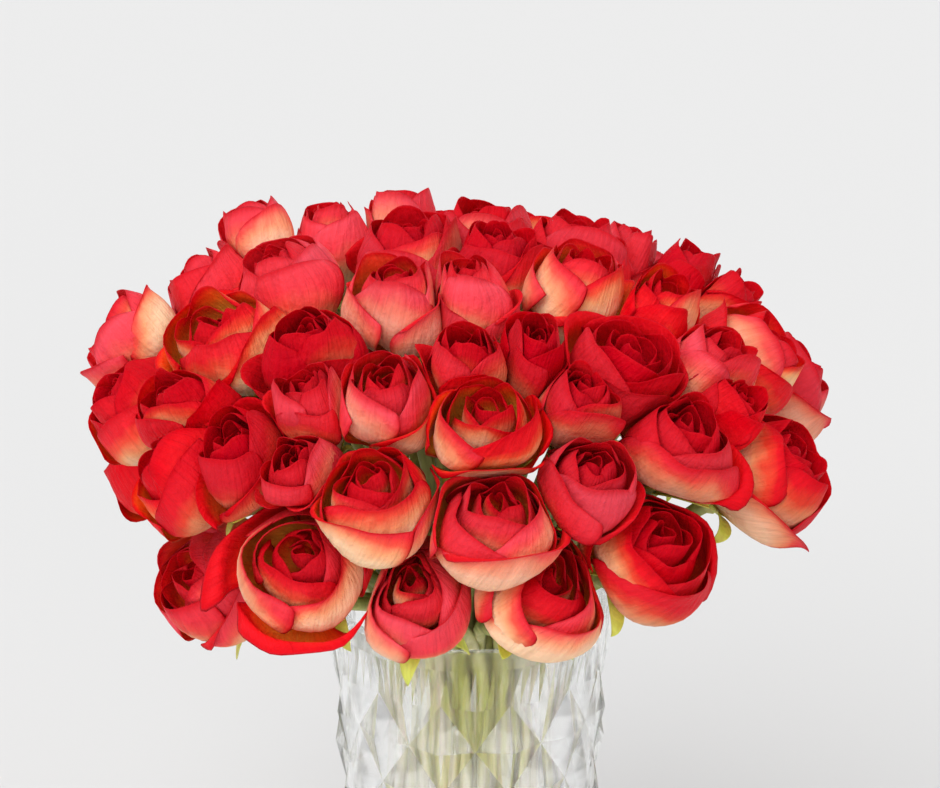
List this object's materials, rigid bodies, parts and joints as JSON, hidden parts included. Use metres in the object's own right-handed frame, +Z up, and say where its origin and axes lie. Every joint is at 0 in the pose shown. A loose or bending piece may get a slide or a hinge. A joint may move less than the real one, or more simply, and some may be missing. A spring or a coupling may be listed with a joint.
{
  "type": "vase of roses",
  "caption": "Tall tapered pressed-glass vase with a diamond pattern, holding a tight round bouquet of red and coral roses with pointed green sepals.",
  "frame": {"origin": "middle of the vase's foot, on the table", "axes": "+Z up along the vase, -Y towards the viewer of the picture, +X to that viewer's right"},
  "size_m": [0.306, 0.288, 0.3848],
  "materials": {
    "glass": "clear pressed glass",
    "green": "satin olive green",
    "petal_red": "matt cloth",
    "petal_coral": "matt cloth",
    "petal_crimson": "matt cloth",
    "petal_salmon": "matt cloth"
  },
  "bodies": {
    "root": {"vase": "glass", "stems_and_sepals": "green", "rose_01": "petal_red", "rose_02": "petal_coral", "rose_03": "petal_crimson", "rose_04": "petal_salmon", "rose_05": "petal_red", "rose_06": "petal_coral", "rose_07": "petal_crimson", "rose_08": "petal_salmon", "rose_09": "petal_red", "rose_10": "petal_coral", "rose_11": "petal_crimson", "rose_12": "petal_salmon", "rose_13": "petal_red", "rose_14": "petal_coral", "rose_15": "petal_crimson", "rose_16": "petal_salmon", "rose_17": "petal_red", "rose_18": "petal_coral", "rose_19": "petal_crimson", "rose_20": "petal_salmon", "rose_21": "petal_red", "rose_22": "petal_coral", "rose_23": "petal_crimson", "rose_24": "petal_salmon", "rose_25": "petal_red", "rose_26": "petal_coral", "rose_27": "petal_crimson", "rose_28": "petal_salmon", "rose_29": "petal_red", "rose_30": "petal_coral", "rose_31": "petal_crimson", "rose_32": "petal_salmon", "rose_33": "petal_red", "rose_34": "petal_coral", "rose_35": "petal_crimson", "rose_36": "petal_salmon", "rose_37": "petal_red", "rose_38": "petal_coral", "rose_39": "petal_crimson", "rose_40": "petal_salmon", "rose_41": "petal_red", "rose_42": "petal_coral", "back_roses_01": "petal_red", "back_roses_02": "petal_coral", "back_roses_03": "petal_crimson", "back_roses_04": "petal_salmon", "back_roses_05": "petal_red", "back_roses_06": "petal_coral", "back_roses_07": "petal_crimson", "back_roses_08": "petal_salmon", "back_roses_09": "petal_red"}
  },
  "joints": []
}
